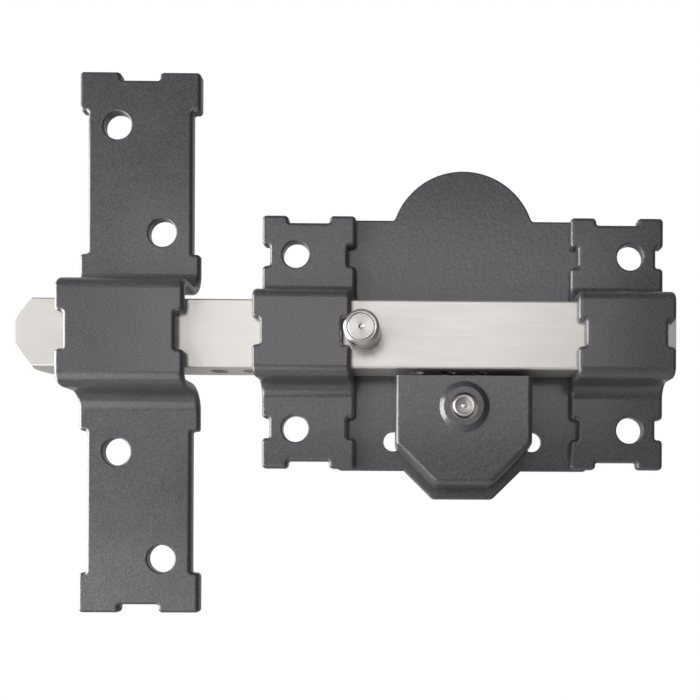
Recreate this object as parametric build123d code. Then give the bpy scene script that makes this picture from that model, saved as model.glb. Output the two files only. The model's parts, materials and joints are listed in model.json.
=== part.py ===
# Rim deadbolt lock for a door: a flat bar slides through two bent straps on the
# lock's back plate and, thrown, through a separate keeper on the door frame.
# Millimetres. The door's face is the plane Y = 0 and its outside is -Y, Z is up,
# and the origin lies on the door's face behind the middle of the bar's height,
# in line with the push button. A height above the door is called a rise.
from build123d import *
import os

# Bar and its travel
bar_height = 20.0
bar_thickness = 12.0
bar_length = 192.0
bar_running_gap = 0.2
tip_flat_r = 6.8
tail_flat_r = 10.4
bar_edge_r = 0.6

# Back plate
plate_thickness = 2.0
plate_half_width = 38.8
plate_top_z = 38.3
plate_bottom_z = -39.0
plate_corner_r = 1.5
lobe_r = 22.3
lobe_z = 31.4
lobe_neck_r = 1.2
tab_half_width = 18.1
tab_tip_half_width = 9.2
tab_drop = 8.8
tab_tip_r = 2.0
plate_edge_r = 0.7
side_hole_r = 3.0
side_hole_x = 21.4
side_hole_z = -30.0

# Bent sheet of the straps and the keeper
sheet = 2.75
sheet_edge_r = 1.2
sheet_corner_r = 1.3
sheet_hole_edge_r = 0.5
crown_gap = 0.25

# Straps
strap_inner_x = 32.8
strap_width = 28.5
strap_half_height = 38.6
strap_crown_half = 12.8
strap_bend_r = 3.1
strap_foot_r = 4.2
strap_end_notch = (12.5, 2.2)
strap_side_notch = (6.0, 2.3)
strap_side_notch_z = 26.3
strap_crown_notch = (7.4, 2.3)
strap_hole_r = 4.0
strap_hole_offset = 4.0
strap_hole_z = 26.5

# Keeper
tip_past_keeper = 12.3
keeper_width = 37.0
keeper_waist = 32.0
keeper_half_height = 83.0
keeper_crown_half = 15.9
keeper_bend_r = 4.0
keeper_foot_r = 5.0
keeper_ear = 12.3
keeper_long_waist_z = 27.2
keeper_crown_waist = 5.3
keeper_end_notch = (11.8, 2.5)
keeper_hole_r = 4.25
keeper_hole_x = 6.9
keeper_holes_far = 66.4
keeper_holes_near = 33.6
notch_corner_r = 0.7

# Locking holes in the bar's lower edge
locking_pin_r = 2.1
locking_pin_x = 4.8
locking_hole_gap = 0.4
locking_hole_depth = 6.0

# Knob, its washer and its screw
knob_r = 5.05
knob_height = 7.5
knob_foot_height = 0.9
knob_neck = (0.7, 0.45)
knob_chamfer = 0.7
knob_ring = (3.8, 0.2, 0.12)
knob_pip_r = 0.4
knob_stop_gap = 0.15
washer_thickness = 0.8
screw_r = 2.0
screw_head_r = 3.6
screw_head_height = 1.8
screw_gap = 0.15

# Push button, its cone and its stem
button_z = -21.1
button_travel = 3.0
fork_lift = 2.2
button_r = 3.2
button_proud = 1.0
button_hole_r = 4.0
flange_r = 4.7
flange_thickness = 1.0
stem_r = 1.6
stem_reach = 3.2
dish_depth = 0.5

# Housing
housing_top_z = -12.1
housing_side_z = -32.2
housing_bottom_z = -44.4
housing_half_width = 20.8
housing_bottom_half = 8.6
housing_rise = 15.0
housing_draft = 4.0
housing_wall = 1.8
housing_edge_r = 1.5
housing_corner_r = 2.5
boss_foot_r = 7.8
boss_top_r = 5.8
boss_proud = 1.2
boss_edge_r = 0.8
boss_recess_r = 5.4
lug_length = 6.0
lug_z = -22.0
slot_gap = 0.15

# Bush, fork, guide, spring and clip
bush_r = 2.6
bush_rise = 5.0
running_gap = 0.1
fork_thickness = 3.6
fork_half_width = 8.0
fork_top_z = -15.8
pin_top_gap = 0.4
ramp_gap = 0.05
window_gap = 0.3
fork_foot_thickness = 2.0
tail_r = 1.5
tail_length = 9.1
guide_sheet = 1.0
guide_half_width = 9.0
guide_top_z = -12.4
guide_reach = 10.2
rivet_r = 1.4
rivet_head_r = 2.2
rivet_head_height = 1.1
rivet_x = 6.5
rivet_upper_z = -15.9
rivet_lower_z = -26.9
spring_wire_r = 0.35
spring_gap = 0.35
spring_turns = 4
clip_thickness = 0.8
clip_r = 3.2

# Worked out from the sizes above
bar_back = plate_thickness + bar_running_gap
bar_front = bar_back + bar_thickness
bar_middle = bar_back + bar_thickness / 2
bar_half = bar_height / 2
knob_nest = (knob_r**2 - (strap_crown_notch[0] / 2) ** 2) ** 0.5 + knob_stop_gap
knob_x = -(strap_inner_x - knob_nest)
travel = -2 * knob_x
pitch = 2 * locking_pin_x
bar_centre_x = -(travel + pitch) / 2
bar_left = bar_centre_x - bar_length / 2
bar_right = bar_centre_x + bar_length / 2
keeper_x = bar_left + tip_past_keeper + keeper_width / 2
crown_rise = bar_front + crown_gap + sheet
strap_x = strap_inner_x + strap_width / 2


def block(x0, x1, rise0, rise1, z0, z1):
    # A box between two X, two rises above the door and two Z
    size = (x1 - x0, rise1 - rise0, z1 - z0)
    middle = ((x0 + x1) / 2, -(rise0 + rise1) / 2, (z0 + z1) / 2)
    return Pos(*middle) * Box(*size)


def rod(x, z, r, rise0, rise1, r_front=None):
    # A round bar or cone that stands off the door, from one rise to another
    front = r if r_front is None else r_front
    section = Polyline((0, rise0), (r, rise0), (front, rise1), (0, rise1), close=True)
    turned = revolve(Plane.XY * make_face(section), Axis.Y)
    return Pos(x, 0, z) * mirror(turned, Plane.XZ)


def turned_part(x, z, points):
    # A turned piece whose axis stands off the door; points are radius, rise
    section = make_face(Polyline(*points, close=True))
    return Pos(x, 0, z) * mirror(revolve(Plane.XY * section, Axis.Y), Plane.XZ)


def hat_strip(width, half_height, foot_rise, top_rise, crown_half, bend_r, foot_r):
    # A strip of sheet bent to a hat: flange, foot, wall, crown and back again
    wall = crown_half
    front = FilletPolyline(
        (-half_height, foot_rise + sheet),
        (-wall, foot_rise + sheet),
        (-wall, top_rise),
        (wall, top_rise),
        (wall, foot_rise + sheet),
        (half_height, foot_rise + sheet),
        radius=[foot_r, bend_r, bend_r, foot_r],
    )
    inner = wall - sheet
    back = FilletPolyline(
        (-half_height, foot_rise),
        (-inner, foot_rise),
        (-inner, top_rise - sheet),
        (inner, top_rise - sheet),
        (inner, foot_rise),
        (half_height, foot_rise),
        radius=[foot_r + sheet, bend_r - sheet, bend_r - sheet, foot_r + sheet],
    )
    ends = [Line(front @ 0, back @ 0), Line(front @ 1, back @ 1)]
    section = make_face([front, back] + ends)
    # The sketch's x is the lock's Z and the sketch's y is the rise
    side = Plane(origin=(-width / 2, 0, 0), x_dir=(0, 0, 1), z_dir=(1, 0, 0))
    return extrude(side * section, width), front


def is_sharp(edge, solid):
    # Whether the two faces that meet at an edge turn a corner there
    middle = edge.position_at(0.5)
    faces = [f for f in solid.faces() if any(edge.is_same(e) for e in f.edges())]
    if len(faces) < 2:
        return False
    return abs(faces[0].normal_at(middle).dot(faces[1].normal_at(middle))) < 0.9


def round_strip(strip, front, hole_r):
    # Punched corners are round, and the front skin rolls over at every cut edge
    corners = [e for e in strip.edges().filter_by(Axis.Y) if is_sharp(e, strip)]
    strip = fillet(corners, sheet_corner_r)
    rim = []
    hole_rims = []
    for edge in strip.edges():
        middle = edge.position_at(0.5)
        if front.distance_to(Vector(middle.Z, -middle.Y, 0)) > 0.01:
            continue
        if not is_sharp(edge, strip):
            continue
        is_hole = edge.geom_type == GeomType.CIRCLE and abs(edge.radius - hole_r) < 0.01
        (hole_rims if is_hole else rim).append(edge)
    strip = fillet(rim, sheet_edge_r)
    hole_rims = [
        e for e in strip.edges().filter_by(GeomType.CIRCLE)
        if abs(e.radius - hole_r) < 0.01 and front.distance_to(front_point(e)) < 0.01
    ]
    return fillet(hole_rims, sheet_hole_edge_r)


def front_point(edge):
    # A point of an edge in the strip's section: along the strip and the rise
    point = edge.position_at(0.5)
    return Vector(point.Z, -point.Y, 0)


def notch(x, z, width, depth, rise0, rise1, direction):
    # A notch cut in from an edge; direction is where the edge faces
    reach = 2.0
    if direction in ("left", "right"):
        sign = 1 if direction == "right" else -1
        far = x + sign * reach
        near = x - sign * depth
        cut = block(min(near, far), max(near, far), rise0, rise1, z - width / 2, z + width / 2)
        inner = near
        corners = cut.edges().filter_by(Axis.Y).filter_by_position(Axis.X, inner - 0.01, inner + 0.01)
    else:
        sign = 1 if direction == "up" else -1
        far = z + sign * reach
        near = z - sign * depth
        cut = block(x - width / 2, x + width / 2, rise0, rise1, min(near, far), max(near, far))
        inner = near
        corners = cut.edges().filter_by(Axis.Y).filter_by_position(Axis.Z, inner - 0.01, inner + 0.01)
    return fillet(corners, notch_corner_r)


def make_strap(side):
    # One strap; side is -1 for the left one and 1 for the right one
    foot = plate_thickness
    strap, front = hat_strip(
        strap_width, strap_half_height, foot, crown_rise, strap_crown_half, strap_bend_r, strap_foot_r
    )
    half = strap_width / 2
    low = foot - 1
    high = crown_rise + 1
    middle = (foot + crown_rise) / 2
    for up in (1, -1):
        end = "up" if up > 0 else "down"
        strap -= notch(0, up * strap_half_height, *strap_end_notch, low, high, end)
        for x, edge in ((half, "right"), (-half, "left")):
            strap -= notch(x, up * strap_side_notch_z, *strap_side_notch, low, high, edge)
    for x, edge in ((half, "right"), (-half, "left")):
        strap -= notch(x, 0, *strap_crown_notch, middle, high, edge)
    for up in (1, -1):
        strap -= rod(strap_hole_offset, up * strap_hole_z, strap_hole_r, low, high)
    strap = round_strip(strap, front, strap_hole_r)
    if side < 0:
        strap = mirror(strap, Plane.YZ)
    return Pos(side * strap_x, 0, 0) * strap


def make_keeper():
    keeper, front = hat_strip(
        keeper_width, keeper_half_height, 0, crown_rise, keeper_crown_half, keeper_bend_r, keeper_foot_r
    )
    half = keeper_width / 2
    depth = (keeper_width - keeper_waist) / 2
    low = -1
    high = crown_rise + 1
    middle = crown_rise / 2
    waist_length = keeper_half_height - keeper_ear - keeper_long_waist_z
    waist_z = keeper_long_waist_z + waist_length / 2
    for up in (1, -1):
        end = "up" if up > 0 else "down"
        keeper -= notch(0, up * keeper_half_height, *keeper_end_notch, low, high, end)
        for x, edge in ((half, "right"), (-half, "left")):
            keeper -= notch(x, up * waist_z, waist_length, depth, low, high, edge)
    for x, edge in ((half, "right"), (-half, "left")):
        keeper -= notch(x, 0, 2 * keeper_crown_waist, depth, middle, high, edge)
    for x, z in keeper_hole_places():
        keeper -= rod(x - keeper_x, z, keeper_hole_r, low, high)
    return Pos(keeper_x, 0, 0) * round_strip(keeper, front, keeper_hole_r)


def keeper_hole_places():
    left = keeper_x - keeper_hole_x
    right = keeper_x + keeper_hole_x
    return [
        (left, keeper_holes_far),
        (right, keeper_holes_near),
        (left, -keeper_holes_near),
        (right, -keeper_holes_far),
    ]


def locking_hole_places():
    # Three holes a pitch apart at each end of the bar, the same from both ends
    right = [locking_pin_x - i * pitch for i in range(3)]
    left = [2 * bar_centre_x - x for x in right]
    return right + left


def end_cone(x, way, flat_r):
    # The space that turning the bar's end at 45 degrees leaves
    cone = Cone(flat_r, flat_r + bar_length, bar_length)
    turn = 90 if way > 0 else -90
    return Pos(x + way * bar_length / 2, -bar_middle, 0) * Rot(0, turn, 0) * cone


def make_bolt_bar():
    bar = block(bar_left, bar_right, bar_back, bar_front, -bar_half, bar_half)
    bar = fillet(bar.edges().filter_by(Axis.X), bar_edge_r)
    bar &= end_cone(bar_left, 1, tip_flat_r) & end_cone(bar_right, -1, tail_flat_r)
    hole_r = locking_pin_r + locking_hole_gap
    for x in locking_hole_places():
        hole = Cylinder(hole_r, 2 * locking_hole_depth)
        bar -= Pos(x, -bar_middle, -bar_half) * hole
    bar -= rod(knob_x, 0, screw_r + screw_gap, bar_back - 1, bar_front + 1)
    seat_r = screw_head_r + screw_gap
    sink = screw_head_height + screw_gap
    bar -= rod(knob_x, 0, seat_r, bar_back, bar_back + sink, screw_r + screw_gap)
    return bar


def make_knob():
    foot = bar_front + washer_thickness
    top = foot + knob_height
    neck, neck_depth = knob_neck
    neck_end = foot + knob_foot_height + neck
    ring_r, ring_width, ring_depth = knob_ring
    knob = turned_part(
        knob_x, 0,
        [
            (0, foot),
            (knob_r, foot),
            (knob_r, foot + knob_foot_height),
            (knob_r - neck_depth, foot + knob_foot_height),
            (knob_r - neck_depth, neck_end),
            (knob_r, neck_end),
            (knob_r, top - knob_chamfer),
            (knob_r - knob_chamfer, top),
            (ring_r + ring_width, top),
            (ring_r, top - ring_depth),
            (ring_r - ring_width, top),
            (2 * knob_pip_r, top),
            (knob_pip_r, top - knob_pip_r),
            (0, top - knob_pip_r),
        ],
    )
    return knob - rod(knob_x, 0, screw_r + running_gap / 2, foot - 1, top - 2.0)


def make_washer():
    washer = rod(knob_x, 0, knob_r, bar_front, bar_front + washer_thickness)
    return washer - rod(knob_x, 0, screw_r + screw_gap, bar_front - 1, bar_front + 2)


def make_knob_screw():
    tip = bar_front + washer_thickness + knob_height - 2.5
    head_end = bar_back + screw_head_height
    return turned_part(
        knob_x, 0,
        [(0, bar_back + 0.1), (screw_head_r, bar_back + 0.1), (screw_r, head_end), (screw_r, tip), (0, tip)],
    )


def housing_outline(inset, top_extra):
    # The five-sided outline, made smaller all round by inset
    half = housing_half_width - inset
    slope = (housing_half_width - housing_bottom_half) / (housing_side_z - housing_bottom_z)
    diagonal = (1 + slope**2) ** 0.5
    bottom = housing_bottom_z + inset
    side_z = housing_side_z + inset * (diagonal - 1) / slope
    bottom_half = half - (side_z - bottom) * slope
    return Polyline(
        (-half, housing_top_z + top_extra),
        (-half, side_z),
        (-bottom_half, bottom),
        (bottom_half, bottom),
        (half, side_z),
        (half, housing_top_z + top_extra),
        close=True,
    )


def housing_form(inset, rise0, rise1, top_extra, corner_r):
    # Sides lean in towards the front; the top end stays square to the bar
    face = make_face(housing_outline(inset, top_extra + 10))
    plane = Plane(origin=(0, -rise0, 0), x_dir=(1, 0, 0), z_dir=(0, -1, 0))
    form = extrude(plane * face, rise1 - rise0, taper=housing_draft)
    corners = [
        e for e in form.edges()
        if abs(e.tangent_at(0.5).Y) > 0.9 and e.center().Z < housing_top_z - 5
    ]
    form = fillet(corners, corner_r)
    cut_top = housing_top_z + top_extra
    return form - block(-50, 50, rise0 - 5, rise1 + 5, cut_top, cut_top + 40)


def make_housing():
    base = plate_thickness
    shell = housing_form(0, base, housing_rise, 0, housing_corner_r)
    front = shell.faces().sort_by(Axis.Y)[0]
    rim = [e for e in front.edges() if e.center().Z < housing_top_z - 0.01]
    shell = fillet(rim, housing_edge_r)
    boss_top = housing_rise + boss_proud
    boss = rod(0, button_z, boss_foot_r, housing_rise - 0.5, boss_top, boss_top_r)
    boss_rim = boss.edges().filter_by(GeomType.CIRCLE).sort_by(Axis.Y)[0]
    shell += fillet(boss_rim, boss_edge_r)
    boss_foot = [
        e for e in shell.edges().filter_by(GeomType.CIRCLE)
        if abs(e.center().Y + housing_rise) < 0.01 and abs(e.center().Z - button_z) < 0.01
    ]
    shell = fillet(boss_foot, boss_edge_r)
    inner_front = housing_rise - housing_wall
    inner_r = housing_corner_r - housing_wall / 2
    hollow = housing_form(housing_wall, base - 1, inner_front, 5, inner_r)
    shell -= hollow
    shell -= rod(0, button_z, boss_recess_r, inner_front - 1, inner_front + boss_proud)
    shell -= rod(0, button_z, button_hole_r, inner_front, boss_top + 1)
    for place in lug_places():
        shell += lug(place, 0)
    return shell


def lug_places():
    # Middle of each lug at the housing's back edge and the way that it runs
    middle = housing_wall / 2 + 0.15
    side = housing_half_width - middle
    return [(-side, lug_z, "Z"), (side, lug_z, "Z"), (0, housing_bottom_z + middle, "X")]


def lug(place, gap):
    x, z, way = place
    thick = housing_wall / 2 - 0.3 + gap
    long = lug_length / 2 + gap
    half_x = thick if way == "Z" else long
    half_z = long if way == "Z" else thick
    top = plate_thickness + 0.6 if gap == 0 else plate_thickness + 1
    bottom = 0 if gap == 0 else -1
    return block(x - half_x, x + half_x, bottom, top, z - half_z, z + half_z)


def make_plate():
    sheet_face = Rectangle(2 * plate_half_width, plate_top_z - plate_bottom_z)
    sheet_face = fillet(sheet_face.vertices(), plate_corner_r)
    outline = Pos(0, (plate_top_z + plate_bottom_z) / 2) * sheet_face
    outline += Pos(0, lobe_z) * Circle(lobe_r)
    tip_z = plate_bottom_z - tab_drop
    root_z = plate_bottom_z + tab_drop
    tab = Polyline(
        (-tab_half_width - tab_drop, root_z),
        (-tab_half_width, plate_bottom_z),
        (-tab_tip_half_width, tip_z),
        (tab_tip_half_width, tip_z),
        (tab_half_width, plate_bottom_z),
        (tab_half_width + tab_drop, root_z),
        close=True,
    )
    outline += make_face(tab)
    plane = Plane(origin=(0, 0, 0), x_dir=(1, 0, 0), z_dir=(0, -1, 0))
    plate = extrude(plane * outline, plate_thickness)
    necks = [
        e for e in plate.edges().filter_by(Axis.Y)
        if abs(e.center().Z - plate_top_z) < 0.01 and abs(e.center().X) < lobe_r
    ]
    plate = fillet(necks, lobe_neck_r)
    tips = [
        e for e in plate.edges().filter_by(Axis.Y)
        if abs(e.center().Z - tip_z) < 0.01
    ]
    plate = fillet(tips, tab_tip_r)
    front = plate.faces().sort_by(Axis.Y)[0]
    plate = fillet(front.edges(), plate_edge_r)
    for side in (1, -1):
        plate -= rod(side * side_hole_x, side_hole_z, side_hole_r, -1, plate_thickness + 1)
    for place in lug_places():
        plate -= lug(place, slot_gap)
    plate -= rod(0, button_z, bush_r, -1, plate_thickness + 1)
    for x, z in rivet_places():
        plate -= rod(x, z, rivet_r, -1, plate_thickness + 1)
        plate -= rod(x, z, rivet_head_r, 0, rivet_head_r - rivet_r, rivet_r)
    return plate


def rivet_places():
    return [(x, z) for x in (-rivet_x, rivet_x) for z in (rivet_upper_z, rivet_lower_z)]


# Rises of the button's shoulders when it stands out
flange_front = housing_rise - housing_wall + boss_proud - running_gap * 2
flange_back = flange_front - flange_thickness
cone_small = bush_rise + running_gap + button_travel
cone_large = cone_small + button_travel


def make_button():
    top = housing_rise + boss_proud + button_proud
    rim = 0.6
    button = turned_part(
        0, button_z,
        [
            (0, stem_reach),
            (stem_r, stem_reach),
            (stem_r, cone_small),
            (stem_r + fork_lift, cone_large),
            (stem_r + fork_lift, flange_back),
            (flange_r, flange_back),
            (flange_r, flange_front),
            (button_r, flange_front),
            (button_r, top - 0.25),
            (button_r - 0.25, top),
            (button_r - rim, top),
            (button_r - rim - 0.3, top - dish_depth),
            (0.7, top - dish_depth),
            (0.5, top - dish_depth / 2),
            (0, top - dish_depth / 2),
        ],
    )
    return button


def make_bush():
    bush = rod(0, button_z, bush_r, 0, bush_rise)
    return bush - rod(0, button_z, stem_r + running_gap, -1, bush_rise + 1)


fork_back = bar_middle - fork_thickness / 2
fork_front = bar_middle + fork_thickness / 2
window_r = stem_r + fork_lift + window_gap
window_middle = button_z - fork_lift
window_bottom = window_middle - window_r
fork_bottom = window_bottom - fork_foot_thickness
shelf_top = fork_bottom - window_gap
shelf_bottom = shelf_top - guide_sheet
clip_z = fork_bottom - tail_length + clip_thickness + 0.6


def make_fork():
    fork = block(-fork_half_width, fork_half_width, fork_back, fork_front, fork_bottom, fork_top_z)
    edges = fork.edges().filter_by(Axis.Y)
    fork = fillet(edges, 1.2)
    pin_tip = -bar_half - pin_top_gap
    pin_length = pin_tip - fork_top_z + 1.0
    for side in (1, -1):
        pin = Cylinder(locking_pin_r, pin_length)
        pin = chamfer(pin.edges().sort_by(Axis.Z)[-1], 0.5)
        fork += Pos(side * locking_pin_x, -bar_middle, pin_tip - pin_length / 2) * pin
    fork -= rod(0, window_middle, window_r, fork_back - 1, fork_front + 1)
    # Sloping roof of the window: it lies on the button's cone
    slope = fork_lift / button_travel
    low_z = button_z + stem_r + ramp_gap

    def roof(rise):
        return low_z + slope * (rise - cone_small)

    back = fork_back - 1
    front = fork_front + 1
    floor = window_middle
    wedge = Polyline(
        (back, floor),
        (front, floor),
        (front, roof(front)),
        (cone_small, low_z),
        (back, low_z),
        close=True,
    )
    fork -= extrude(Plane.YZ * mirror(make_face(wedge), Plane.YZ), window_r, both=True)
    tail = Cylinder(tail_r, tail_length)
    fork += Pos(0, -bar_middle, fork_bottom - tail_length / 2) * tail
    groove = Cylinder(tail_r + 1, clip_thickness) - Cylinder(tail_r - 0.5, clip_thickness)
    fork -= Pos(0, -bar_middle, clip_z) * groove
    return fork


def make_guide():
    back0 = plate_thickness
    back1 = back0 + guide_sheet
    half = guide_half_width
    bottom = shelf_bottom
    guide = block(-half, half, back0, back1, bottom, guide_top_z)
    guide += block(-half, half, back0, guide_reach, guide_top_z - guide_sheet, guide_top_z)
    guide += block(-half, half, back0, guide_reach, bottom, bottom + guide_sheet)
    for side in (1, -1):
        hole = Cylinder(locking_pin_r + running_gap, 4)
        guide -= Pos(side * locking_pin_x, -bar_middle, guide_top_z) * hole
    guide -= Pos(0, -bar_middle, bottom) * Cylinder(tail_r + running_gap, 4)
    guide -= rod(0, button_z, bush_r + running_gap, back0 - 1, back1 + 1)
    for x, z in rivet_places():
        guide -= rod(x, z, rivet_r, back0 - 1, back1 + 1)
    return guide


def make_rivets():
    sink = rivet_head_r - rivet_r
    top = plate_thickness + guide_sheet
    rivets = []
    for x, z in rivet_places():
        rivet = rod(x, z, rivet_r, 0, top + 0.5)
        rivet += rod(x, z, rivet_head_r, 0, sink, rivet_r)
        rivet += rod(x, z, rivet_head_r, top, top + rivet_head_height, rivet_head_r * 0.6)
        rivets.append(rivet)
    return Compound(children=rivets)


def make_spring():
    top = shelf_bottom - spring_wire_r - 0.05
    bottom = clip_z + clip_thickness / 2 + spring_wire_r + 0.05
    r = tail_r + spring_gap + spring_wire_r
    height = top - bottom
    path = Helix(pitch=height / spring_turns, height=height, radius=r)
    section = Plane(origin=path @ 0, z_dir=path % 0) * Circle(spring_wire_r)
    coil = sweep(section, path=path, is_frenet=True)
    return Pos(0, -bar_middle, bottom) * coil


def make_clip():
    clip = Cylinder(clip_r, clip_thickness) - Cylinder(tail_r - 0.5 + 0.02, clip_thickness)
    mouth = Pos(0, -clip_r, 0) * Box(1.6, 2 * clip_r, 2 * clip_thickness)
    return Pos(0, -bar_middle, clip_z) * (clip - mouth)


parts = {
    "base_plate": make_plate(),
    "left_strap": make_strap(-1),
    "right_strap": make_strap(1),
    "keeper": make_keeper(),
    "bolt_bar": make_bolt_bar(),
    "pull_knob": make_knob(),
    "knob_washer": make_washer(),
    "knob_screw": make_knob_screw(),
    "button_housing": make_housing(),
    "push_button": make_button(),
    "stem_bush": make_bush(),
    "locking_fork": make_fork(),
    "fork_guide": make_guide(),
    "guide_rivets": make_rivets(),
    "return_spring": make_spring(),
    "spring_clip": make_clip(),
}

os.makedirs("parts", exist_ok=True)
for name, solid in parts.items():
    export_step(solid, f"parts/{name}.step")
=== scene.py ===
# %% [markdown]
# # A rim deadbolt lock
# The lock is a flat steel bar in two bent straps on a pressed back plate, with a
# separate keeper for the door frame. Most of it is stamped sheet under a dark grey
# paint, and the bar, the knob and the button are bare metal. The solids come ready in
# their places, so this file is about surface: what paint, a drawn bar and turned faces
# do to light.

# %% Load the lock
import json
import math

import bpy
from mathutils import Matrix, Vector


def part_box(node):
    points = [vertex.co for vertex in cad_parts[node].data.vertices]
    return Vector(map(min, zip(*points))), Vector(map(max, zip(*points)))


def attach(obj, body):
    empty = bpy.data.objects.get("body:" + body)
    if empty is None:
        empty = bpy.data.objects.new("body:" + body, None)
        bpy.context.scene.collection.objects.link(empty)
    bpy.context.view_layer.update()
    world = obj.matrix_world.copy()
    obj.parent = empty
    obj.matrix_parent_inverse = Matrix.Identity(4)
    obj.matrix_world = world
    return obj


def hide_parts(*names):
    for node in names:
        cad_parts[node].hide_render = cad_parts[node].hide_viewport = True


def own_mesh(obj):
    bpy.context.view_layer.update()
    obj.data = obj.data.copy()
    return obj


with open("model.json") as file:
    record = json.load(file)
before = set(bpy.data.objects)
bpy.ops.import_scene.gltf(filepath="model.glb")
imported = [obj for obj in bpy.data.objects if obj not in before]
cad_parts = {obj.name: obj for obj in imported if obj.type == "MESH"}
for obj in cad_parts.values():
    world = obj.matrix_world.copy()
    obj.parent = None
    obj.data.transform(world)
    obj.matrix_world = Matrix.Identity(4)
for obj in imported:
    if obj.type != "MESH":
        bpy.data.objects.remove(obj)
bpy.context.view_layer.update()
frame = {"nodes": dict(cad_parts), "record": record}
nodes = frame["nodes"]
MM = 0.001
print("solids:", len(nodes))

# %% [markdown]
# ## Where things are
# Every place is read from the solids, so nothing has to be fitted by hand. The door's
# face is the plane Y = 0 and the lock's outside looks along -Y. How far something
# stands off the door is called its rise.

# %% Places and sizes


def middle(node):
    low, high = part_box(node)
    return (Vector(low) + Vector(high)) / 2


def size(node):
    low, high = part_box(node)
    return Vector(high) - Vector(low)


def rises(node):
    # How far a piece's back and its front stand off the door
    low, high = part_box(node)
    return -high[1], -low[1]


knob_axis = middle("pull_knob")
button_axis = middle("push_button")
print("knob axis", knob_axis, "button axis", button_axis)

# %% [markdown]
# ## Helpers for nodes
# Materials and Geometry Nodes are both graphs of nodes. One helper adds a node and sets
# its plain values, one links or sets a socket, and one does a step of arithmetic.

# %% Helpers for nodes


def add(tree, kind, **values):
    # Adds a node; names of inputs use _ for a space
    node = tree.nodes.new(kind)
    for key, value in values.items():
        if hasattr(node, key):
            setattr(node, key, value)
        else:
            node.inputs[key.replace("_", " ")].default_value = value
    return node


def feed(tree, value, socket):
    # Links another node's output to a socket, or sets a plain value there
    if isinstance(value, bpy.types.NodeSocket):
        tree.links.new(value, socket)
    else:
        socket.default_value = value


def calc(tree, operation, *values):
    node = add(tree, "ShaderNodeMath", operation=operation)
    for value, socket in zip(values, node.inputs):
        feed(tree, value, socket)
    return node.outputs[0]


def combine(tree, x, y, z):
    node = add(tree, "ShaderNodeCombineXYZ")
    for value, socket in zip((x, y, z), node.inputs):
        feed(tree, value, socket)
    return node.outputs[0]


def separate(tree, vector):
    node = add(tree, "ShaderNodeSeparateXYZ")
    tree.links.new(vector, node.inputs[0])
    return node.outputs


def spread(tree, value, low, high, to_low, to_high):
    # Stretches a value from one range to another
    node = add(tree, "ShaderNodeMapRange")
    for name, number in (("From Min", low), ("From Max", high), ("To Min", to_low), ("To Max", to_high)):
        node.inputs[name].default_value = number
    tree.links.new(value, node.inputs["Value"])
    return node.outputs["Result"]


# %% [markdown]
# ## Helpers for materials
# A finish starts from the shader and the object's own coordinates. Colour comes from a
# blend of two tones, relief from one or two heights, and both read the same noises, so
# that a spot of thicker paint also shines a little differently.

# %% Helpers for materials


def start_material(name, **shader_values):
    material = bpy.data.materials.new(name)
    material.use_nodes = True
    tree = material.node_tree
    shader = tree.nodes["Principled BSDF"]
    for key, value in shader_values.items():
        shader.inputs[key.replace("_", " ")].default_value = value
    place = add(tree, "ShaderNodeTexCoord").outputs["Object"]
    return material, tree, shader, place


def blend_tones(tree, factor, dark, light):
    ramp = add(tree, "ShaderNodeValToRGB")
    ramp.color_ramp.elements[0].color = (*dark, 1)
    ramp.color_ramp.elements[1].color = (*light, 1)
    tree.links.new(factor, ramp.inputs["Fac"])
    return ramp.outputs["Color"]


def relief(tree, height, depth, under=None):
    # Turns a pattern into a relief of that many metres
    node = add(tree, "ShaderNodeBump", Distance=depth)
    tree.links.new(height, node.inputs["Height"])
    if under is not None:
        tree.links.new(under, node.inputs["Normal"])
    return node.outputs["Normal"]


def noise(tree, place, spot, detail=2.0, stretch=None):
    # A cloudy pattern whose spots are about spot metres across
    if stretch is not None:
        mapping = add(tree, "ShaderNodeMapping", Scale=stretch)
        tree.links.new(place, mapping.inputs["Vector"])
        place = mapping.outputs["Vector"]
    node = add(tree, "ShaderNodeTexNoise", Scale=1 / spot, Detail=detail)
    tree.links.new(place, node.inputs["Vector"])
    return node.outputs["Fac"]


# %% [markdown]
# ## Paint
# The pressings are sprayed a dark grey with a hint of violet and stoved. Three things
# make it look like paint and not like plastic: specks under half a millimetre across
# that differ a little in tone, a slight unevenness of the whole coat, and a relief that
# breaks a highlight into specks. On the thick straps the relief is a tight grain, and on
# the plate and the housing it is broader, like the skin of an orange. A clear coat gives
# the sharper half of the shine, over a duller half from the pigment.

# %% Paint
paint_dark = (0.050, 0.048, 0.054)
paint_light = (0.104, 0.100, 0.110)
speck_size = 0.42 * MM
speck_depth = 0.014 * MM
patch_size = 9 * MM


def make_paint(name, grain, grain_depth, gloss):
    material, tree, shader, place = start_material(
        name, Metallic=0.2, Specular_IOR_Level=0.6, Coat_Weight=0.7, Coat_Roughness=0.16,
    )
    specks = noise(tree, place, speck_size)
    patches = noise(tree, place, patch_size)
    # Specks make seven tenths of the tone and patches the rest
    speck_tone = spread(tree, specks, 0.38, 0.62, 0.0, 0.7)
    tone = calc(tree, "ADD", calc(tree, "MULTIPLY", patches, 0.3), speck_tone)
    tree.links.new(blend_tones(tree, tone, paint_dark, paint_light), shader.inputs["Base Color"])
    tree.links.new(spread(tree, patches, 0.3, 0.7, gloss - 0.03, gloss + 0.03), shader.inputs["Roughness"])
    skin = relief(tree, noise(tree, place, grain, detail=2.5), grain_depth)
    tree.links.new(relief(tree, specks, speck_depth, under=skin), shader.inputs["Normal"])
    return material


strap_paint = make_paint("strap_paint", grain=0.45 * MM, grain_depth=0.09 * MM, gloss=0.40)
plate_paint = make_paint("plate_paint", grain=1.2 * MM, grain_depth=0.13 * MM, gloss=0.38)
print("paints:", strap_paint.name, plate_paint.name)

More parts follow.
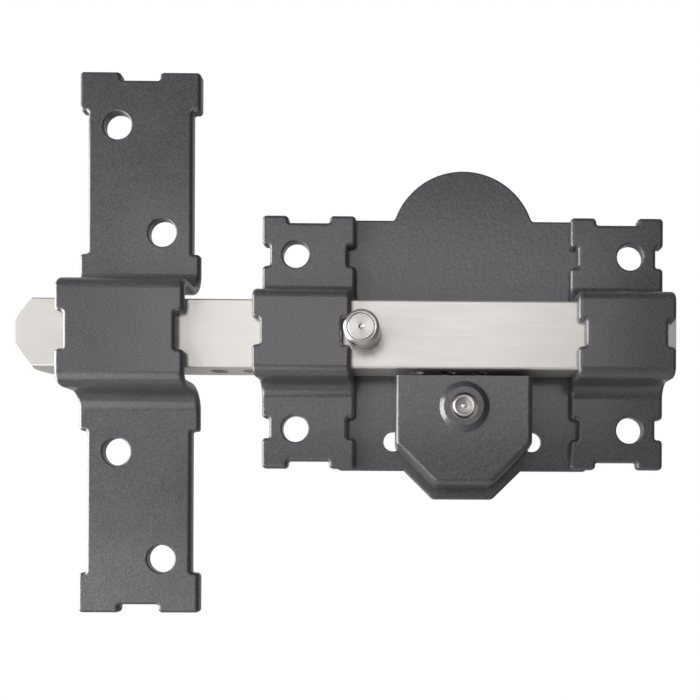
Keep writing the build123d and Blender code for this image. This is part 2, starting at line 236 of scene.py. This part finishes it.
# %% [markdown]
# ## Bare metal
# The bar is cold drawn and nickel plated: a warm white metal with faint lines along its
# length, so its noise is stretched along X. Its satin plating scatters a part of the
# light, so it is metal to seven tenths only. The turned faces have fine grooves round
# their axis instead, from a wave that reads the distance to that axis. The fork, its
# guide, the clip and the spring are a near-black steel whose darkness is painted shade:
# the fork's pins and the guide show in the shaded gap under the bar, and their colour is
# made as dark as that shade so that they disappear into it.

# %% Bare metals


def make_drawn_metal(name, dark, light, gloss, metal=1.0):
    material, tree, shader, place = start_material(name, Metallic=metal)
    lines = noise(tree, place, 0.35 * MM, stretch=(0.03, 1, 1))
    cloud = noise(tree, place, 14 * MM, detail=3.0, stretch=(0.5, 1, 1))
    tree.links.new(blend_tones(tree, cloud, dark, light), shader.inputs["Base Color"])
    tree.links.new(spread(tree, lines, 0.3, 0.7, gloss - 0.02, gloss + 0.03), shader.inputs["Roughness"])
    tree.links.new(relief(tree, lines, 0.0004 * MM), shader.inputs["Normal"])
    return material


def make_turned_metal(name, axis, dark, light, gloss, groove):
    # Grooves a groove apart run round the line along Y through axis
    material, tree, shader, place = start_material(name, Metallic=1.0)
    parts = separate(tree, place)
    away_x = calc(tree, "SUBTRACT", parts["X"], axis.x)
    away_z = calc(tree, "SUBTRACT", parts["Z"], axis.z)
    squares = calc(tree, "ADD", calc(tree, "POWER", away_x, 2), calc(tree, "POWER", away_z, 2))
    distance = calc(tree, "SQRT", squares)
    waves = calc(tree, "SINE", calc(tree, "MULTIPLY", distance, 2 * math.pi / groove))
    cloud = noise(tree, place, 3 * MM)
    tree.links.new(blend_tones(tree, cloud, dark, light), shader.inputs["Base Color"])
    tree.links.new(spread(tree, cloud, 0.3, 0.7, gloss - 0.02, gloss + 0.03), shader.inputs["Roughness"])
    tree.links.new(relief(tree, waves, 0.006 * MM), shader.inputs["Normal"])
    return material


steel_dark = (0.50, 0.47, 0.46)
steel_light = (0.62, 0.585, 0.575)
nickel_dark = (0.72, 0.69, 0.662)
nickel_light = (0.825, 0.795, 0.763)
bar_nickel = make_drawn_metal("bar_nickel", nickel_dark, nickel_light, 0.35, metal=0.7)
knob_steel = make_turned_metal("knob_steel", knob_axis, steel_dark, steel_light, 0.26, 0.34 * MM)
button_steel = make_turned_metal("button_steel", button_axis, steel_dark, steel_light, 0.30, 0.30 * MM)
# Near-black steel: its darkness is painted shade for the gap under the bar
blued_steel = make_drawn_metal("blued_steel", (0.045, 0.045, 0.05), (0.09, 0.09, 0.095), 0.36)
zinc_plate = make_drawn_metal("zinc_plate", (0.46, 0.46, 0.46), (0.62, 0.62, 0.60), 0.34)
bush_brass = make_drawn_metal("bush_brass", (0.62, 0.44, 0.20), (0.74, 0.56, 0.28), 0.30)

# %% [markdown]
# ## Pressings and the bar
# The straps, the keeper, the plate, the housing and the bar are already the right shape,
# with rolled edges and exact normals, so they keep their solids and only get a finish.

# %% Dress the solids
finishes = {
    "base_plate": plate_paint,
    "button_housing": plate_paint,
    "left_strap": strap_paint,
    "right_strap": strap_paint,
    "keeper": strap_paint,
    "bolt_bar": bar_nickel,
    "knob_screw": zinc_plate,
    # The fork, its guide and the clip take the near-black steel whose darkness is painted shade
    "locking_fork": blued_steel,
    "fork_guide": blued_steel,
    "spring_clip": blued_steel,
    "stem_bush": bush_brass,
}
for node, finish in finishes.items():
    for slot in nodes[node].material_slots:
        slot.material = finish
print("dressed solids:", len(finishes))

# %% [markdown]
# ## Growing a piece with Geometry Nodes
# A piece whose shape follows a rule is grown by a node tree: a turned piece from its
# profile, rivets from their places, a spring from its turns. The tree's sizes are named
# inputs. It is run once on a holder, the result is kept as a plain mesh, and the holder
# goes away.

# %% Helpers for Geometry Nodes


def start_tree(name, inputs):
    # Gives the tree, its input node and the identifier of each named input
    tree = bpy.data.node_groups.new(name, "GeometryNodeTree")
    tree.interface.new_socket("Geometry", in_out="INPUT", socket_type="NodeSocketGeometry")
    tree.interface.new_socket("Geometry", in_out="OUTPUT", socket_type="NodeSocketGeometry")
    keys = {}
    for label, kind in inputs.items():
        item = tree.interface.new_socket(label, in_out="INPUT", socket_type="NodeSocket" + kind)
        keys[label] = item.identifier
    return tree, tree.nodes.new("NodeGroupInput").outputs, keys


def end_tree(tree, geometry, finish):
    real = add(tree, "GeometryNodeRealizeInstances")
    dressed = add(tree, "GeometryNodeSetMaterial")
    tree.links.new(geometry, real.inputs[0])
    tree.links.new(real.outputs[0], dressed.inputs["Geometry"])
    tree.links.new(finish, dressed.inputs["Material"])
    tree.links.new(dressed.outputs[0], tree.nodes.new("NodeGroupOutput").inputs[0])


def grow(name, seed, tree, keys, values, crisp=math.radians(30)):
    # Runs a tree on a mesh or a curve and leaves a plain mesh
    holder = bpy.data.objects.new(name + "_seed", seed)
    bpy.context.scene.collection.objects.link(holder)
    modifier = holder.modifiers.new("grow", "NODES")
    modifier.node_group = tree
    for label, value in values.items():
        modifier[keys[label]] = value
    view = bpy.context.evaluated_depsgraph_get()
    shape = bpy.data.meshes.new_from_object(holder.evaluated_get(view))
    bpy.data.objects.remove(holder)
    shape.shade_smooth()
    shape.set_sharp_from_angle(angle=crisp)
    piece = bpy.data.objects.new(name, shape)
    bpy.context.scene.collection.objects.link(piece)
    print(name, "faces:", len(shape.polygons))
    return piece


def hand_over(piece, node):
    # The new piece moves with the solid's body and is shown in its place
    members = frame["record"]["behaviour"]["bodies"]
    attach(piece, next(body for body in members if node in members[body]))
    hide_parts(node)


# %% [markdown]
# ## Turned pieces
# The knob, its washer and the push button were turned on a lathe, and the tree works the
# same way. The profile is half of the section, as a curve of radius and rise. Its
# corners are rounded, then a flat grid takes one column of points for each profile
# point and is rolled up round the axis. Points that meet on the axis are merged.

# %% A lathe made of nodes


def make_lathe():
    tree, given, keys = start_tree("lathe", {
        "Segments": "Int", "Edge Round": "Float", "Axis X": "Float", "Axis Z": "Float", "Finish": "Material",
    })
    rounded = add(tree, "GeometryNodeFilletCurve", mode="POLY", Count=3, Limit_Radius=True)
    tree.links.new(given["Geometry"], rounded.inputs["Curve"])
    tree.links.new(given["Edge Round"], rounded.inputs["Radius"])
    profile = add(tree, "GeometryNodeCurveToMesh")
    tree.links.new(rounded.outputs[0], profile.inputs["Curve"])
    count = add(tree, "GeometryNodeAttributeDomainSize", component="MESH")
    tree.links.new(profile.outputs[0], count.inputs[0])
    round_count = calc(tree, "ADD", given["Segments"], 1)
    grid = add(tree, "GeometryNodeMeshGrid", Size_X=1, Size_Y=1)
    tree.links.new(count.outputs["Point Count"], grid.inputs["Vertices X"])
    tree.links.new(round_count, grid.inputs["Vertices Y"])

    index = add(tree, "GeometryNodeInputIndex").outputs[0]
    column = calc(tree, "FLOOR", calc(tree, "DIVIDE", calc(tree, "ADD", index, 0.5), round_count))
    step = calc(tree, "SUBTRACT", index, calc(tree, "MULTIPLY", column, round_count))
    angle = calc(tree, "DIVIDE", calc(tree, "MULTIPLY", step, math.tau), given["Segments"])
    sample = add(tree, "GeometryNodeSampleIndex", data_type="FLOAT_VECTOR", domain="POINT")
    tree.links.new(profile.outputs[0], sample.inputs["Geometry"])
    tree.links.new(add(tree, "GeometryNodeInputPosition").outputs[0], sample.inputs["Value"])
    tree.links.new(column, sample.inputs["Index"])
    radius, rise = separate(tree, sample.outputs[0])[:2]

    x = calc(tree, "ADD", given["Axis X"], calc(tree, "MULTIPLY", radius, calc(tree, "COSINE", angle)))
    z = calc(tree, "ADD", given["Axis Z"], calc(tree, "MULTIPLY", radius, calc(tree, "SINE", angle)))
    rolled = add(tree, "GeometryNodeSetPosition")
    tree.links.new(grid.outputs["Mesh"], rolled.inputs["Geometry"])
    tree.links.new(combine(tree, x, calc(tree, "MULTIPLY", rise, -1), z), rolled.inputs["Position"])
    merged = add(tree, "GeometryNodeMergeByDistance", Distance=0.001 * MM)
    tree.links.new(rolled.outputs[0], merged.inputs["Geometry"])
    end_tree(tree, merged.outputs[0], given["Finish"])
    return tree, keys


def turn(node, points, finish, edge_round=0.08 * MM):
    # Points are radius and rise, in metres, from the axis at the back to the axis in front
    profile = bpy.data.curves.new(node + "_profile", "CURVE")
    profile.dimensions = "3D"
    line = profile.splines.new("POLY")
    line.points.add(len(points) - 1)
    for point, (radius, rise) in zip(line.points, points):
        point.co = (radius, rise, 0, 1)
    axis = middle(node)
    values = {"Segments": 96, "Edge Round": edge_round, "Axis X": axis.x, "Axis Z": axis.z, "Finish": finish}
    piece = grow(node + "_turned", profile, *lathe, values)
    hand_over(piece, node)


lathe = make_lathe()

# %% Knob, washer and push button
knob_back, knob_front = rises("pull_knob")
knob_r = size("pull_knob").x / 2
bore_r = 2.05 * MM
bore_end = knob_front - 2.0 * MM
neck_r = knob_r - 0.45 * MM
neck_back = knob_back + 0.9 * MM
neck_front = knob_back + 1.6 * MM
chamfer = 0.7 * MM
ring_r = 3.8 * MM
ring_half = 0.2 * MM
ring_floor = knob_front - 0.12 * MM
centre_r = 0.8 * MM
centre_floor = knob_front - 0.4 * MM
turn("pull_knob", [
    (0, bore_end),
    (bore_r, bore_end),
    (bore_r, knob_back),
    (knob_r, knob_back),
    (knob_r, neck_back),
    (neck_r, neck_back),
    (neck_r, neck_front),
    (knob_r, neck_front),
    (knob_r, knob_front - chamfer),
    (knob_r - chamfer, knob_front),
    (ring_r + ring_half, knob_front),
    (ring_r, ring_floor),
    (ring_r - ring_half, knob_front),
    (centre_r, knob_front),
    (centre_r / 2, centre_floor),
    (0, centre_floor),
], knob_steel)

washer_back, washer_front = rises("knob_washer")
washer_bore = 2.15 * MM
turn("knob_washer", [
    (washer_bore, washer_back),
    (knob_r, washer_back),
    (knob_r, washer_front),
    (washer_bore, washer_front),
    (washer_bore, washer_back),
], knob_steel)

button_back, button_front = rises("push_button")
stem_r = 1.6 * MM
drum_r = 3.8 * MM
flange_r = size("push_button").x / 2
button_r = 3.2 * MM
cone_back = 8.1 * MM
cone_front = 11.1 * MM
flange_back = 13.2 * MM
flange_front = 14.2 * MM
button_chamfer = 0.25 * MM
lip_r = button_r - 0.6 * MM
lip_step = 0.15 * MM
lip_floor = button_front - 0.1 * MM
dish_r = 0.75 * MM
dish_floor = button_front - 0.5 * MM
pip_r = 0.5 * MM
pip_top = dish_floor + 0.25 * MM
turn("push_button", [
    (0, button_back),
    (stem_r, button_back),
    (stem_r, cone_back),
    (drum_r, cone_front),
    (drum_r, flange_back),
    (flange_r, flange_back),
    (flange_r, flange_front),
    (button_r, flange_front),
    (button_r, button_front - button_chamfer),
    (button_r - button_chamfer, button_front),
    (lip_r, button_front),
    (lip_r - lip_step, lip_floor),
    (dish_r, dish_floor),
    (pip_r, pip_top),
    (0, pip_top),
], button_steel, edge_round=0.06 * MM)

# %% [markdown]
# ## Rivets
# Four equal rivets hold the fork's guide to the plate. Each is a countersunk tail, a
# shank and a head, made once and set on four points. Only their places differ.

# %% Four rivets from one


def make_riveter():
    tree, given, keys = start_tree("riveter", {
        "Shank Radius": "Float", "Head Radius": "Float", "Under Head": "Float", "Length": "Float",
        "Finish": "Material",
    })
    sink = calc(tree, "SUBTRACT", given["Head Radius"], given["Shank Radius"])
    shank = add(tree, "GeometryNodeMeshCone", Vertices=32)
    tail = add(tree, "GeometryNodeMeshCone", Vertices=32)
    head = add(tree, "GeometryNodeMeshCone", Vertices=32)
    for end in ("Radius Top", "Radius Bottom"):
        tree.links.new(given["Shank Radius"], shank.inputs[end])
    tree.links.new(given["Under Head"], shank.inputs["Depth"])
    tree.links.new(given["Shank Radius"], tail.inputs["Radius Top"])
    tree.links.new(given["Head Radius"], tail.inputs["Radius Bottom"])
    tree.links.new(sink, tail.inputs["Depth"])
    tree.links.new(calc(tree, "MULTIPLY", given["Head Radius"], 0.6), head.inputs["Radius Top"])
    tree.links.new(given["Head Radius"], head.inputs["Radius Bottom"])
    tree.links.new(calc(tree, "SUBTRACT", given["Length"], given["Under Head"]), head.inputs["Depth"])
    raised = add(tree, "GeometryNodeTransform")
    tree.links.new(head.outputs["Mesh"], raised.inputs["Geometry"])
    tree.links.new(combine(tree, 0, 0, given["Under Head"]), raised.inputs["Translation"])
    whole = add(tree, "GeometryNodeJoinGeometry")
    for piece in (tail.outputs["Mesh"], shank.outputs["Mesh"], raised.outputs[0]):
        tree.links.new(piece, whole.inputs[0])
    # The cones stand along Z, and a rivet stands off the door along -Y
    laid = add(tree, "GeometryNodeTransform")
    laid.inputs["Rotation"].default_value = (math.pi / 2, 0, 0)
    tree.links.new(whole.outputs[0], laid.inputs["Geometry"])
    placed = add(tree, "GeometryNodeInstanceOnPoints")
    tree.links.new(given["Geometry"], placed.inputs["Points"])
    tree.links.new(laid.outputs[0], placed.inputs["Instance"])
    end_tree(tree, placed.outputs[0], given["Finish"])
    return tree, keys


rivet_head_r = 2.2 * MM
rivets = middle("guide_rivets")
rivets_half = size("guide_rivets") / 2 - Vector((rivet_head_r, 0, rivet_head_r))
rivet_points = bpy.data.meshes.new("rivet_points")
rivet_points.from_pydata([
    (rivets.x + side * rivets_half.x, 0, rivets.z + up * rivets_half.z) for side in (-1, 1) for up in (-1, 1)
], [], [])
riveter, riveter_keys = make_riveter()
guide_rivets = grow("guide_rivets_set", rivet_points, riveter, riveter_keys, {
    "Shank Radius": 1.4 * MM,
    "Head Radius": rivet_head_r,
    "Under Head": 3.0 * MM,
    "Length": rises("guide_rivets")[1],
    "Finish": zinc_plate,
})
hand_over(guide_rivets, "guide_rivets")

# %% [markdown]
# ## Return spring
# A spring is a wire that follows a helix, so the tree lays a small circle along a
# spiral curve. When the button is pressed, the fork pulls the spring's lower end up,
# towards its fixed upper end.

# %% Coil the spring


def make_coiler():
    tree, given, keys = start_tree("coiler", {
        "Turns": "Float", "Coil Radius": "Float", "Height": "Float", "Wire Radius": "Float",
        "Place": "Vector", "Finish": "Material",
    })
    path = add(tree, "GeometryNodeCurveSpiral", Resolution=48)
    tree.links.new(given["Turns"], path.inputs["Rotations"])
    tree.links.new(given["Coil Radius"], path.inputs["Start Radius"])
    tree.links.new(given["Coil Radius"], path.inputs["End Radius"])
    tree.links.new(given["Height"], path.inputs["Height"])
    wire = add(tree, "GeometryNodeCurvePrimitiveCircle", Resolution=14)
    tree.links.new(given["Wire Radius"], wire.inputs["Radius"])
    coil = add(tree, "GeometryNodeCurveToMesh", Fill_Caps=True)
    tree.links.new(path.outputs[0], coil.inputs["Curve"])
    tree.links.new(wire.outputs[0], coil.inputs["Profile Curve"])
    placed = add(tree, "GeometryNodeTransform")
    tree.links.new(coil.outputs[0], placed.inputs["Geometry"])
    tree.links.new(given["Place"], placed.inputs["Translation"])
    end_tree(tree, placed.outputs[0], given["Finish"])
    return tree, keys


wire_r = 0.35 * MM
spring_box = size("return_spring")
spring_middle = middle("return_spring")
spring_height = spring_box.z - 2 * wire_r
coiler, coiler_keys = make_coiler()
# The coil takes the near-black steel whose darkness is painted shade
return_spring = grow("return_spring_coil", bpy.data.meshes.new("no_seed"), coiler, coiler_keys, {
    "Turns": 4.0,
    "Coil Radius": spring_box.x / 2 - wire_r,
    "Height": spring_height,
    "Wire Radius": wire_r,
    "Place": (spring_middle.x, spring_middle.y, spring_middle.z - spring_height / 2),
    "Finish": blued_steel,
})
hand_over(return_spring, "return_spring")
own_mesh(return_spring)

# %% [markdown]
# ## Floor and surroundings
# The lock hangs in a white studio, and the camera sees pure white all round. What
# lights the lock, and what its gloss mirrors, is another matter: the studio is bright
# behind the lock and dim in front of it, apart from the lamps. It is this contrast that
# shapes a dark glossy bend.

# %% Floor and world
floor_z = -0.9
floor_half = 3.0
floor_glow = 0.9
dim_until = -0.15
bright_from = 0.35


def make_floor():
    mesh = bpy.data.meshes.new("floor")
    corners = [(-floor_half, -floor_half), (floor_half, -floor_half), (floor_half, floor_half)]
    corners.append((-floor_half, floor_half))
    mesh.from_pydata([(x, y, floor_z) for x, y in corners], [], [(0, 1, 2, 3)])
    floor = bpy.data.objects.new("floor", mesh)
    bpy.context.scene.collection.objects.link(floor)
    material, tree, shader, place = start_material(
        "floor_white", Base_Color=(0.84, 0.84, 0.84, 1), Roughness=0.9,
    )
    shader.inputs["Emission Color"].default_value = (1, 1, 1, 1)
    seen = add(tree, "ShaderNodeLightPath").outputs["Is Camera Ray"]
    tree.links.new(calc(tree, "MULTIPLY", seen, floor_glow), shader.inputs["Emission Strength"])
    mesh.materials.append(material)


def make_world(front_light, back_light, front_gloss, back_gloss):
    world = bpy.data.worlds.new("surround")
    bpy.context.scene.world = world
    world.use_nodes = True
    tree = world.node_tree
    path = add(tree, "ShaderNodeLightPath")
    backwards = separate(tree, add(tree, "ShaderNodeTexCoord").outputs["Generated"])[1]
    light = spread(tree, backwards, dim_until, bright_from, front_light, back_light)
    gloss = spread(tree, backwards, dim_until, bright_from, front_gloss, back_gloss)
    mirrored = calc(tree, "MAXIMUM", path.outputs["Is Glossy Ray"], path.outputs["Is Transmission Ray"])
    lighting = calc(tree, "MULTIPLY", calc(tree, "SUBTRACT", 1, mirrored), light)
    lit = calc(tree, "ADD", lighting, calc(tree, "MULTIPLY", mirrored, gloss))
    level = calc(tree, "MAXIMUM", path.outputs["Is Camera Ray"], lit)
    background = tree.nodes["Background"]
    background.inputs["Color"].default_value = (1, 1, 1, 1)
    tree.links.new(level, background.inputs["Strength"])


make_floor()
make_world(front_light=0.04, back_light=0.45, front_gloss=0.12, back_gloss=0.5)

# %% [markdown]
# ## Light
# One large soft panel stands close by on the left, almost in the plane of the door. It
# grazes the flats, so that they darken from left to right, and it draws the bright lines
# on edges that face left. A weaker one, low on the left, draws soft ones on the lower
# bends. A wide one in front is what the bar and the knob mirror.

# %% Lamps


def make_panel(name, place, extent, power):
    # A soft panel that faces the middle of the lock, extent metres wide and high
    data = bpy.data.lights.new(name, "AREA")
    data.shape = "RECTANGLE"
    data.size, data.size_y = extent
    data.energy = power
    lamp = bpy.data.objects.new(name, data)
    lamp.location = place
    lamp.rotation_euler = (Vector(lock_middle) - Vector(place)).to_track_quat("-Z", "Y").to_euler()
    lamp.visible_camera = False
    bpy.context.scene.collection.objects.link(lamp)


lock_middle = (-0.034, 0, 0)
make_panel("left", place=(-0.66, -0.10, 0.0), extent=(0.6, 0.66), power=11.0)
make_panel("low_left", place=(-0.467, -0.516, -0.33), extent=(0.8, 0.55), power=1.8)
make_panel("front", place=(-0.11, -1.10, 0.30), extent=(0.9, 0.4), power=1.9)

# %% [markdown]
# ## Camera
# The photograph was taken from straight in front of the door, low and a little to the
# right, with the lens shifted to take in the whole lock. So upright edges stay upright
# and yet the underside of the bar shows.

# %% Camera
camera_place = (-8.7 * MM, -219.9 * MM, -53.4 * MM)
camera_turn = math.radians(-0.59)
camera_tilt = math.radians(-0.03)
camera_roll = math.radians(0.25)
camera_lens = 36.31
camera_shift = (-0.13, 0.24)


def make_camera():
    data = bpy.data.cameras.new("camera")
    data.lens = camera_lens
    data.shift_x, data.shift_y = camera_shift
    data.clip_start = 0.01
    camera = bpy.data.objects.new("camera", data)
    turned = Matrix.Rotation(camera_turn, 4, "Z")
    tilted = Matrix.Rotation(math.pi / 2 + camera_tilt, 4, "X")
    rolled = Matrix.Rotation(camera_roll, 4, "Z")
    camera.matrix_world = Matrix.Translation(camera_place) @ turned @ tilted @ rolled
    bpy.context.scene.collection.objects.link(camera)
    bpy.context.scene.camera = camera


make_camera()
bpy.context.scene.view_settings.view_transform = "Standard"
